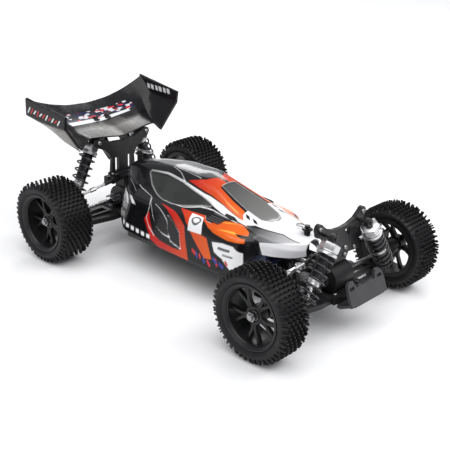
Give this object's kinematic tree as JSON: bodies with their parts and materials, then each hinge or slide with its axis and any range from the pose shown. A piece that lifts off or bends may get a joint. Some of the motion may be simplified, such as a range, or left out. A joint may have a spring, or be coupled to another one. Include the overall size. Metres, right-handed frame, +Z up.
{
  "type": "rc buggy",
  "caption": "Four-wheel-drive radio-controlled off-road buggy with independent suspension, oil shocks, rear wing and a removable body shell.",
  "frame": {"origin": "on the ground, below the middle of the overall length and width", "axes": "+X forwards, +Y to the left of the vehicle, +Z up"},
  "size_m": [0.3874, 0.24, 0.1524],
  "materials": {
    "black_nylon": "moulded satin",
    "bumper_nylon": "moulded matte",
    "body_paint": "painted clear shell, gloss",
    "wing_plastic": "gloss",
    "motor_can": "satin",
    "electronics_case": "satin",
    "pinion_brass": "machined",
    "gear_steel": "machined",
    "link_aluminium": "satin",
    "tyre_rubber": "matte",
    "rim_plastic": "satin",
    "axle_steel": "machined",
    "shock_aluminium": "anodised",
    "spring_steel": "gloss",
    "shaft_chrome": "polished"
  },
  "bodies": {
    "chassis_assembly": {"chassis": "black_nylon", "body_shell": "body_paint", "wing": "wing_plastic", "wing_mount": "black_nylon", "front_shock_tower": "black_nylon", "rear_shock_tower": "black_nylon", "gear_cases": "black_nylon", "front_bumper": "bumper_nylon", "motor": "motor_can", "electronics": "electronics_case"},
    "motor_pinion": {"motor_pinion": "pinion_brass"},
    "centre_shaft": {"centre_shaft": "gear_steel"},
    "front_diff": {"front_diff": "gear_steel"},
    "rear_diff": {"rear_diff": "gear_steel"},
    "servo_saver": {"servo_saver": "black_nylon"},
    "drag_link": {"drag_link": "link_aluminium"},
    "lower_arm_fl": {"lower_arm_fl": "black_nylon"},
    "c_hub_fl": {"c_hub_fl": "black_nylon"},
    "knuckle_fl": {"knuckle_fl": "black_nylon"},
    "wheel_fl": {"tyre_fl": "tyre_rubber", "rim_fl": "rim_plastic", "axle_fl": "axle_steel"},
    "shock_body_fl": {"shock_body_fl": "shock_aluminium", "shock_spring_fl": "spring_steel"},
    "shock_shaft_fl": {"shock_shaft_fl": "shaft_chrome"},
    "camber_link_fl": {"camber_link_fl": "link_aluminium"},
    "drive_shaft_fl": {"drive_shaft_fl": "axle_steel"},
    "tie_rod_fl": {"tie_rod_fl": "link_aluminium"},
    "lower_arm_fr": {"lower_arm_fr": "black_nylon"},
    "c_hub_fr": {"c_hub_fr": "black_nylon"},
    "knuckle_fr": {"knuckle_fr": "black_nylon"},
    "wheel_fr": {"tyre_fr": "tyre_rubber", "rim_fr": "rim_plastic", "axle_fr": "axle_steel"},
    "shock_body_fr": {"shock_body_fr": "shock_aluminium", "shock_spring_fr": "spring_steel"},
    "shock_shaft_fr": {"shock_shaft_fr": "shaft_chrome"},
    "camber_link_fr": {"camber_link_fr": "link_aluminium"},
    "drive_shaft_fr": {"drive_shaft_fr": "axle_steel"},
    "tie_rod_fr": {"tie_rod_fr": "link_aluminium"},
    "lower_arm_rl": {"lower_arm_rl": "black_nylon"},
    "hub_carrier_rl": {"hub_carrier_rl": "black_nylon"},
    "wheel_rl": {"tyre_rl": "tyre_rubber", "rim_rl": "rim_plastic", "axle_rl": "axle_steel"},
    "shock_body_rl": {"shock_body_rl": "shock_aluminium", "shock_spring_rl": "spring_steel"},
    "shock_shaft_rl": {"shock_shaft_rl": "shaft_chrome"},
    "camber_link_rl": {"camber_link_rl": "link_aluminium"},
    "drive_shaft_rl": {"drive_shaft_rl": "axle_steel"},
    "lower_arm_rr": {"lower_arm_rr": "black_nylon"},
    "hub_carrier_rr": {"hub_carrier_rr": "black_nylon"},
    "wheel_rr": {"tyre_rr": "tyre_rubber", "rim_rr": "rim_plastic", "axle_rr": "axle_steel"},
    "shock_body_rr": {"shock_body_rr": "shock_aluminium", "shock_spring_rr": "spring_steel"},
    "shock_shaft_rr": {"shock_shaft_rr": "shaft_chrome"},
    "camber_link_rr": {"camber_link_rr": "link_aluminium"},
    "drive_shaft_rr": {"drive_shaft_rr": "axle_steel"}
  },
  "joints": [
    {"name": "suspension_fl", "type": "hinge", "parent": "chassis_assembly", "child": "lower_arm_fl", "pos_m": [0.15125, 0.021, 0.031], "axis": [1, 0, 0], "range_deg": [-8, 12], "stiffness_Nm_per_rad": 3, "springref_deg": -3.44},
    {"name": "outer_pin_fl", "type": "hinge", "parent": "lower_arm_fl", "child": "c_hub_fl", "pos_m": [0.15125, 0.076, 0.03], "axis": [1, 0, 0], "range_deg": [-12, 8]},
    {"name": "kingpin_fl", "type": "hinge", "parent": "c_hub_fl", "child": "knuckle_fl", "pos_m": [0.15125, 0.082, 0.0425], "axis": [0, 0, 1], "range_deg": [-18, 18]},
    {"name": "wheel_fl_spin", "type": "hinge", "parent": "knuckle_fl", "child": "wheel_fl", "pos_m": [0.15125, 0.101, 0.0425], "axis": [0, 1, 0], "continuous": true},
    {"name": "drive_shaft_fl_spin", "type": "hinge", "parent": "lower_arm_fl", "child": "drive_shaft_fl", "pos_m": [0.15125, 0.05, 0.0425], "axis": [0, 1, 0], "continuous": true},
    {"name": "shock_swing_fl", "type": "hinge", "parent": "chassis_assembly", "child": "shock_body_fl", "pos_m": [0.16685, 0.026, 0.092], "axis": [1, 0, 0], "range_deg": [-4, 4]},
    {"name": "shock_travel_fl", "type": "slide", "parent": "shock_body_fl", "child": "shock_shaft_fl", "axis": [0, 0.5684, -0.8227], "range_m": [-0.009, 0.006], "deforming": ["shock_spring_fl"]},
    {"name": "camber_swing_fl", "type": "hinge", "parent": "chassis_assembly", "child": "camber_link_fl", "pos_m": [0.146, 0.026, 0.066], "axis": [1, 0, 0], "range_deg": [-9, 13]},
    {"name": "tie_rod_swing_fl", "type": "hinge", "parent": "drag_link", "child": "tie_rod_fl", "pos_m": [0.13325, 0.027, 0.0545], "axis": [1, 0, 0], "range_deg": [-9, 13]},
    {"name": "suspension_fr", "type": "hinge", "parent": "chassis_assembly", "child": "lower_arm_fr", "pos_m": [0.15125, -0.021, 0.031], "axis": [-1, 0, 0], "range_deg": [-8, 12], "stiffness_Nm_per_rad": 3, "springref_deg": -3.44},
    {"name": "outer_pin_fr", "type": "hinge", "parent": "lower_arm_fr", "child": "c_hub_fr", "pos_m": [0.15125, -0.076, 0.03], "axis": [-1, 0, 0], "range_deg": [-12, 8]},
    {"name": "kingpin_fr", "type": "hinge", "parent": "c_hub_fr", "child": "knuckle_fr", "pos_m": [0.15125, -0.082, 0.0425], "axis": [0, 0, 1], "range_deg": [-18, 18]},
    {"name": "wheel_fr_spin", "type": "hinge", "parent": "knuckle_fr", "child": "wheel_fr", "pos_m": [0.15125, -0.101, 0.0425], "axis": [0, 1, 0], "continuous": true},
    {"name": "drive_shaft_fr_spin", "type": "hinge", "parent": "lower_arm_fr", "child": "drive_shaft_fr", "pos_m": [0.15125, -0.05, 0.0425], "axis": [0, 1, 0], "continuous": true},
    {"name": "shock_swing_fr", "type": "hinge", "parent": "chassis_assembly", "child": "shock_body_fr", "pos_m": [0.16685, -0.026, 0.092], "axis": [-1, 0, 0], "range_deg": [-4, 4]},
    {"name": "shock_travel_fr", "type": "slide", "parent": "shock_body_fr", "child": "shock_shaft_fr", "axis": [0, -0.5684, -0.8227], "range_m": [-0.009, 0.006], "deforming": ["shock_spring_fr"]},
    {"name": "camber_swing_fr", "type": "hinge", "parent": "chassis_assembly", "child": "camber_link_fr", "pos_m": [0.146, -0.026, 0.066], "axis": [-1, 0, 0], "range_deg": [-9, 13]},
    {"name": "tie_rod_swing_fr", "type": "hinge", "parent": "drag_link", "child": "tie_rod_fr", "pos_m": [0.13325, -0.027, 0.0545], "axis": [-1, 0, 0], "range_deg": [-9, 13]},
    {"name": "suspension_rl", "type": "hinge", "parent": "chassis_assembly", "child": "lower_arm_rl", "pos_m": [-0.12675, 0.021, 0.031], "axis": [1, 0, 0], "range_deg": [-8, 12], "stiffness_Nm_per_rad": 3, "springref_deg": -3.44},
    {"name": "outer_pin_rl", "type": "hinge", "parent": "lower_arm_rl", "child": "hub_carrier_rl", "pos_m": [-0.12675, 0.076, 0.03], "axis": [1, 0, 0], "range_deg": [-12, 8]},
    {"name": "wheel_rl_spin", "type": "hinge", "parent": "hub_carrier_rl", "child": "wheel_rl", "pos_m": [-0.12675, 0.1, 0.0425], "axis": [0, 1, 0], "continuous": true},
    {"name": "drive_shaft_rl_spin", "type": "hinge", "parent": "lower_arm_rl", "child": "drive_shaft_rl", "pos_m": [-0.12675, 0.05, 0.0425], "axis": [0, 1, 0], "continuous": true},
    {"name": "shock_swing_rl", "type": "hinge", "parent": "chassis_assembly", "child": "shock_body_rl", "pos_m": [-0.14775, 0.03, 0.1075], "axis": [1, 0, 0], "range_deg": [-4, 4]},
    {"name": "shock_travel_rl", "type": "slide", "parent": "shock_body_rl", "child": "shock_shaft_rl", "axis": [0, 0.4133, -0.9106], "range_m": [-0.009, 0.006], "deforming": ["shock_spring_rl"]},
    {"name": "camber_swing_rl", "type": "hinge", "parent": "chassis_assembly", "child": "camber_link_rl", "pos_m": [-0.12375, 0.024, 0.066], "axis": [1, 0, 0], "range_deg": [-9, 13]},
    {"name": "suspension_rr", "type": "hinge", "parent": "chassis_assembly", "child": "lower_arm_rr", "pos_m": [-0.12675, -0.021, 0.031], "axis": [-1, 0, 0], "range_deg": [-8, 12], "stiffness_Nm_per_rad": 3, "springref_deg": -3.44},
    {"name": "outer_pin_rr", "type": "hinge", "parent": "lower_arm_rr", "child": "hub_carrier_rr", "pos_m": [-0.12675, -0.076, 0.03], "axis": [-1, 0, 0], "range_deg": [-12, 8]},
    {"name": "wheel_rr_spin", "type": "hinge", "parent": "hub_carrier_rr", "child": "wheel_rr", "pos_m": [-0.12675, -0.1, 0.0425], "axis": [0, 1, 0], "continuous": true},
    {"name": "drive_shaft_rr_spin", "type": "hinge", "parent": "lower_arm_rr", "child": "drive_shaft_rr", "pos_m": [-0.12675, -0.05, 0.0425], "axis": [0, 1, 0], "continuous": true},
    {"name": "shock_swing_rr", "type": "hinge", "parent": "chassis_assembly", "child": "shock_body_rr", "pos_m": [-0.14775, -0.03, 0.1075], "axis": [-1, 0, 0], "range_deg": [-4, 4]},
    {"name": "shock_travel_rr", "type": "slide", "parent": "shock_body_rr", "child": "shock_shaft_rr", "axis": [0, -0.4133, -0.9106], "range_m": [-0.009, 0.006], "deforming": ["shock_spring_rr"]},
    {"name": "camber_swing_rr", "type": "hinge", "parent": "chassis_assembly", "child": "camber_link_rr", "pos_m": [-0.12375, -0.024, 0.066], "axis": [-1, 0, 0], "range_deg": [-9, 13]},
    {"name": "steering", "type": "hinge", "parent": "chassis_assembly", "child": "servo_saver", "pos_m": [0.11725, -0.015, 0.046], "axis": [0, 0, 1], "range_deg": [-20, 20]},
    {"name": "drag_link_slide", "type": "slide", "parent": "chassis_assembly", "child": "drag_link", "axis": [0, 1, 0], "range_m": [-0.006, 0.006]},
    {"name": "centre_shaft_spin", "type": "hinge", "parent": "chassis_assembly", "child": "centre_shaft", "pos_m": [0, 0, 0.0425], "axis": [1, 0, 0], "continuous": true},
    {"name": "motor_pinion_spin", "type": "hinge", "parent": "chassis_assembly", "child": "motor_pinion", "pos_m": [-0.08975, -0.02031, 0.0475], "axis": [1, 0, 0], "continuous": true},
    {"name": "front_diff_spin", "type": "hinge", "parent": "chassis_assembly", "child": "front_diff", "pos_m": [0.15125, 0, 0.0425], "axis": [0, 1, 0], "continuous": true},
    {"name": "rear_diff_spin", "type": "hinge", "parent": "chassis_assembly", "child": "rear_diff", "pos_m": [-0.12675, 0, 0.0425], "axis": [0, 1, 0], "continuous": true}
  ],
  "couplings": [
    {"joint": "outer_pin_fl", "follows": "suspension_fl", "ratio": -1},
    {"joint": "kingpin_fl", "follows": "steering", "ratio": -0.8845},
    {"joint": "wheel_fl_spin", "follows": "wheel_rl_spin", "ratio": 1},
    {"joint": "drive_shaft_fl_spin", "follows": "wheel_rl_spin", "ratio": 1},
    {"joint": "shock_swing_fl", "follows": "suspension_fl", "ratio": 0.2834},
    {"joint": "shock_travel_fl", "follows": "suspension_fl", "m_per_rad": -0.03925},
    {"joint": "camber_swing_fl", "follows": "suspension_fl", "ratio": 1},
    {"joint": "tie_rod_swing_fl", "follows": "suspension_fl", "ratio": 1},
    {"joint": "outer_pin_fr", "follows": "suspension_fr", "ratio": -1},
    {"joint": "kingpin_fr", "follows": "steering", "ratio": -0.8845},
    {"joint": "wheel_fr_spin", "follows": "wheel_rl_spin", "ratio": 1},
    {"joint": "drive_shaft_fr_spin", "follows": "wheel_rl_spin", "ratio": 1},
    {"joint": "shock_swing_fr", "follows": "suspension_fr", "ratio": 0.2834},
    {"joint": "shock_travel_fr", "follows": "suspension_fr", "m_per_rad": -0.03925},
    {"joint": "camber_swing_fr", "follows": "suspension_fr", "ratio": 1},
    {"joint": "tie_rod_swing_fr", "follows": "suspension_fr", "ratio": 1},
    {"joint": "outer_pin_rl", "follows": "suspension_rl", "ratio": -1},
    {"joint": "drive_shaft_rl_spin", "follows": "wheel_rl_spin", "ratio": 1},
    {"joint": "shock_swing_rl", "follows": "suspension_rl", "ratio": 0.135},
    {"joint": "shock_travel_rl", "follows": "suspension_rl", "m_per_rad": -0.04008},
    {"joint": "camber_swing_rl", "follows": "suspension_rl", "ratio": 0.998},
    {"joint": "outer_pin_rr", "follows": "suspension_rr", "ratio": -1},
    {"joint": "wheel_rr_spin", "follows": "wheel_rl_spin", "ratio": 1},
    {"joint": "drive_shaft_rr_spin", "follows": "wheel_rl_spin", "ratio": 1},
    {"joint": "shock_swing_rr", "follows": "suspension_rr", "ratio": 0.135},
    {"joint": "shock_travel_rr", "follows": "suspension_rr", "m_per_rad": -0.04008},
    {"joint": "camber_swing_rr", "follows": "suspension_rr", "ratio": 0.998},
    {"joint": "drag_link_slide", "follows": "steering", "m_per_rad": 0.0158},
    {"joint": "centre_shaft_spin", "follows": "wheel_rl_spin", "ratio": 2.6},
    {"joint": "motor_pinion_spin", "follows": "wheel_rl_spin", "ratio": -7.0571},
    {"joint": "front_diff_spin", "follows": "wheel_rl_spin", "ratio": 1},
    {"joint": "rear_diff_spin", "follows": "wheel_rl_spin", "ratio": 1}
  ]
}
